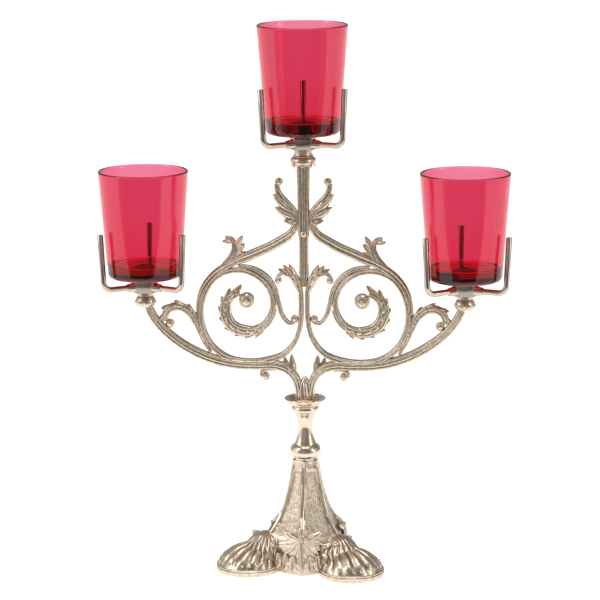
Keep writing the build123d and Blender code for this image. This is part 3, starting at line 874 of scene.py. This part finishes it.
hub_narrow_face = 6.9
hub_wide_face = 11.8
hub_levels = [(-11.0, 0.94), (-10.5, 1.0), (-0.5, 1.0), (0.0, 0.94)]
hub_reach = (2 * hub_wide_face + hub_narrow_face) * sin(radians(60)) / 3
for cup, (reach, seat, turn) in cups.items():
    hub = Shape()
    corners = []
    for azimuth in (-150, -30, 90):
        for end in (-1, 1):
            flat = Vector((hub_reach, end * hub_narrow_face / 2))
            angle = radians(azimuth + turn)
            corners.append(Vector((flat.x * cos(angle) - flat.y * sin(angle),
                                   flat.x * sin(angle) + flat.y * cos(angle))))
    outline = []
    for index, corner in enumerate(corners):
        for neighbour in (corners[index - 1], corners[(index + 1) % len(corners)]):
            outline.append(corner + (neighbour - corner).normalized() * 0.7)
    hub_rings = []
    for drop, shrink in hub_levels:
        hub_rings.append(
            [(reach + place.x * shrink, place.y * shrink, seat + drop) for place in outline])
    # The hub's faces take the darker brass of painted shade, its wire bosses the plain cradle brass
    hub.add(*skin(hub_rings), kind=1)
    for azimuth in wire_azimuths.values():
        root = around((reach, 0), azimuth + turn, hub_reach - 1.0, seat + wire_level)
        end = around((reach, 0), azimuth + turn, hub_reach + 5.5, seat + wire_level)
        frustum(hub, root, end, 3.9, 2.7)
    hub.piece(f"{cup}_cup_hub_brass", [cradle, painted_shade_cradle], stand, [f"{cup}_cup_hub"])

    for place, azimuth in wire_azimuths.items():
        wire = Shape()
        bent_wire(wire, reach, seat, azimuth + turn)
        wire.piece(
            f"{cup}_wire_{place}_brass", [cradle], stand, [f"{cup}_cup_wire_{place}"])

    glass = Shape()
    profile = (
        [(0.01, seat), (22.0, seat)]
        + rounded([(23.2, seat + 0.05), (25.1, seat + 0.9), (26.15, seat + 2.8)], 0.3)
        + [(26.3, seat + 4.0), (29.1, seat + 40.0), (31.8, seat + 74.6)]
        + rounded([(31.9, seat + 75.4), (31.5, seat + 76.05), (30.9, seat + 76.2), (30.3, seat + 75.9),
                   (29.95, seat + 75.2)], 0.2)
        + [(29.8, seat + 74.0), (27.1, seat + 40.0), (24.7, seat + 13.0)]
        + rounded([(24.5, seat + 11.8), (23.6, seat + 9.8), (21.6, seat + 8.85)], 0.3)
        + [(20.0, seat + 8.8), (0.01, seat + 8.8)]
    )
    lathe(glass, profile, (reach, 0), segments=128)
    glass.piece(
        f"{cup}_votive_glass_ruby", [ruby], f"{cup}_glass", [f"{cup}_votive_glass"])

# Nut, washer, rod and studs keep their own solids
for node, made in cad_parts.items():
    if node in ("tie_rod", "foot_nut", "foot_washer") or node.endswith("_stud"):
        made.data.materials.clear()
        made.data.materials.append(steel)


# Floor, lights, world and camera
floor_mesh = bpy.data.meshes.new("floor")
floor_level = -0.0002
floor_edges = (-9.0, 9.0)
floor_front = -0.45
floor_glow = 0.88
floor_mesh.from_pydata(
    [(floor_edges[0], floor_front, floor_level), (floor_edges[1], floor_front, floor_level),
     (floor_edges[1], floor_edges[1], floor_level), (floor_edges[0], floor_edges[1], floor_level)],
    [], [(0, 1, 2, 3)],
)
floor = bpy.data.objects.new("floor", floor_mesh)
bpy.context.scene.collection.objects.link(floor)
pale = material("pale_floor", (0.6, 0.6, 0.6), 0.9, metallic=0.0)
pale_shader = pale.node_tree.nodes["Principled BSDF"]
pale_shader.inputs["Specular IOR Level"].default_value = 0.0
pale_shader.inputs["Emission Color"].default_value = (1, 1, 1, 1)
seen = pale.node_tree.nodes.new("ShaderNodeLightPath")
glow = seen.outputs["Is Camera Ray"]
for ray in ("Is Glossy Ray", "Is Transmission Ray"):
    glow = calculated(pale.node_tree, "MAXIMUM", glow, seen.outputs[ray])
glow = calculated(pale.node_tree, "MULTIPLY", glow, floor_glow)
pale.node_tree.links.new(glow, pale_shader.inputs["Emission Strength"])
floor_mesh.materials.append(pale)


def softbox(name, place, size, power):
    """A rectangular area light aimed at the middle of the candelabra."""
    lamp = bpy.data.lights.new(name, "AREA")
    lamp.shape = "RECTANGLE"
    lamp.size = size[0]
    lamp.size_y = size[1]
    lamp.energy = power
    made = bpy.data.objects.new(name, lamp)
    made.location = place
    aim = Vector((0, 0, 0.2)) - Vector(place)
    made.rotation_euler = aim.to_track_quat("-Z", "Y").to_euler()
    bpy.context.scene.collection.objects.link(made)


softbox("key_light", (-1.5, -0.7, 1.2), (0.5, 1.3), 6)
softbox("fill_light", (1.6, -0.6, 0.9), (0.3, 1.2), 3)
softbox("top_light", (0.1, -0.3, 2.0), (1.0, 0.5), 5)

world = bpy.data.worlds.new("studio")
bpy.context.scene.world = world
world.use_nodes = True
sky = world.node_tree
sky.nodes.clear()
coordinates = sky.nodes.new("ShaderNodeTexCoord")
split = sky.nodes.new("ShaderNodeSeparateXYZ")
sky.links.new(coordinates.outputs["Generated"], split.inputs["Vector"])


def grey_bands(axis, stops):
    """Grey bands of the studio along one axis, from its negative to its positive end."""
    shift = sky.nodes.new("ShaderNodeMath")
    shift.operation = "MULTIPLY_ADD"
    shift.inputs[1].default_value = 0.5
    shift.inputs[2].default_value = 0.5
    bands = sky.nodes.new("ShaderNodeValToRGB")
    for index, (position, value) in enumerate(stops):
        elements = bands.color_ramp.elements
        element = elements[index] if index < 2 else elements.new(position)
        element.position = position
        element.color = (value, value, value, 1)
    sky.links.new(split.outputs[axis], shift.inputs[0])
    sky.links.new(shift.outputs["Value"], bands.inputs["Fac"])
    return bands.outputs["Color"]


# Dark on the viewer's side, two tall bright panels at the sides, a paler wall behind
depth_bands = grey_bands("Y", [(0.0, 0.42), (0.10, 0.32), (0.17, 0.30), (0.22, 0.9), (0.58, 0.85),
                               (0.64, 0.35), (1.0, 0.5)])
height_bands = grey_bands("Z", [(0.0, 0.35), (0.36, 0.42), (0.47, 0.85), (0.68, 0.95), (0.8, 0.6),
                                (1.0, 0.7)])
width_bands = grey_bands("X", [(0.0, 1.0), (0.45, 0.8), (0.55, 0.6), (1.0, 0.7)])
studio_colour = product(sky, product(sky, depth_bands, height_bands), width_bands)
path = sky.nodes.new("ShaderNodeLightPath")
studio_gain = 1.2
background_drop = 0.2
mirrored_once = calculated(sky, "MINIMUM", path.outputs["Glossy Depth"], 1.0)
not_mirrored = calculated(sky, "SUBTRACT", 1.0, mirrored_once)
through_glass = calculated(sky, "MULTIPLY", path.outputs["Is Transmission Ray"], not_mirrored)
straight = calculated(sky, "MAXIMUM", path.outputs["Is Camera Ray"], through_glass)
gain = calculated(sky, "SUBTRACT", studio_gain, calculated(sky, "MULTIPLY", straight, background_drop))
choose = sky.nodes.new("ShaderNodeMix")
choose.data_type = "RGBA"
background = sky.nodes.new("ShaderNodeBackground")
output = sky.nodes.new("ShaderNodeOutputWorld")
studio_input, white_input = colour_sockets(choose.inputs)
sky.links.new(straight, choose.inputs[0])
sky.links.new(studio_colour, studio_input)
white_input.default_value = (1, 1, 1, 1)
sky.links.new(colour_sockets(choose.outputs)[0], background.inputs["Color"])
sky.links.new(gain, background.inputs["Strength"])
sky.links.new(background.outputs["Background"], output.inputs["Surface"])

# Camera: the photograph's view, from slightly right of the front and above
camera_azimuth = radians(5.5)
camera_pitch = radians(11.6)
camera_roll = radians(0.45)
camera_distance = 1.85
camera_height = 0.5727
focal_pixels = 2672
picture_pixels = 600
shift_pixels = 4.3
sensor_width = 36
render_pixels = 1000
ahead = Vector((-sin(camera_azimuth), cos(camera_azimuth), 0))
level_right = Vector((cos(camera_azimuth), sin(camera_azimuth), 0))
view = ahead * cos(camera_pitch) - upward * sin(camera_pitch)
view_up = ahead * sin(camera_pitch) + upward * cos(camera_pitch)
right_axis = level_right * cos(camera_roll) - view_up * sin(camera_roll)
up_axis = level_right * sin(camera_roll) + view_up * cos(camera_roll)
lens = bpy.data.cameras.new("photo_view")
lens.sensor_width = sensor_width
lens.lens = sensor_width * focal_pixels / picture_pixels
lens.shift_x = -shift_pixels / picture_pixels
lens.clip_end = 50
camera = bpy.data.objects.new("photo_view", lens)
spot = ahead * -camera_distance + upward * camera_height
camera.matrix_world = Matrix((
    (right_axis.x, up_axis.x, -view.x, spot.x),
    (right_axis.y, up_axis.y, -view.y, spot.y),
    (right_axis.z, up_axis.z, -view.z, spot.z),
    (0, 0, 0, 1),
))
bpy.context.scene.collection.objects.link(camera)
scene = bpy.context.scene
scene.camera = camera
scene.render.engine = "CYCLES"
scene.render.resolution_x = render_pixels
scene.render.resolution_y = render_pixels
scene.cycles.samples = 160
scene.cycles.max_bounces = 14
scene.cycles.transmission_bounces = 12
scene.cycles.glossy_bounces = 6
scene.view_settings.view_transform = "Standard"
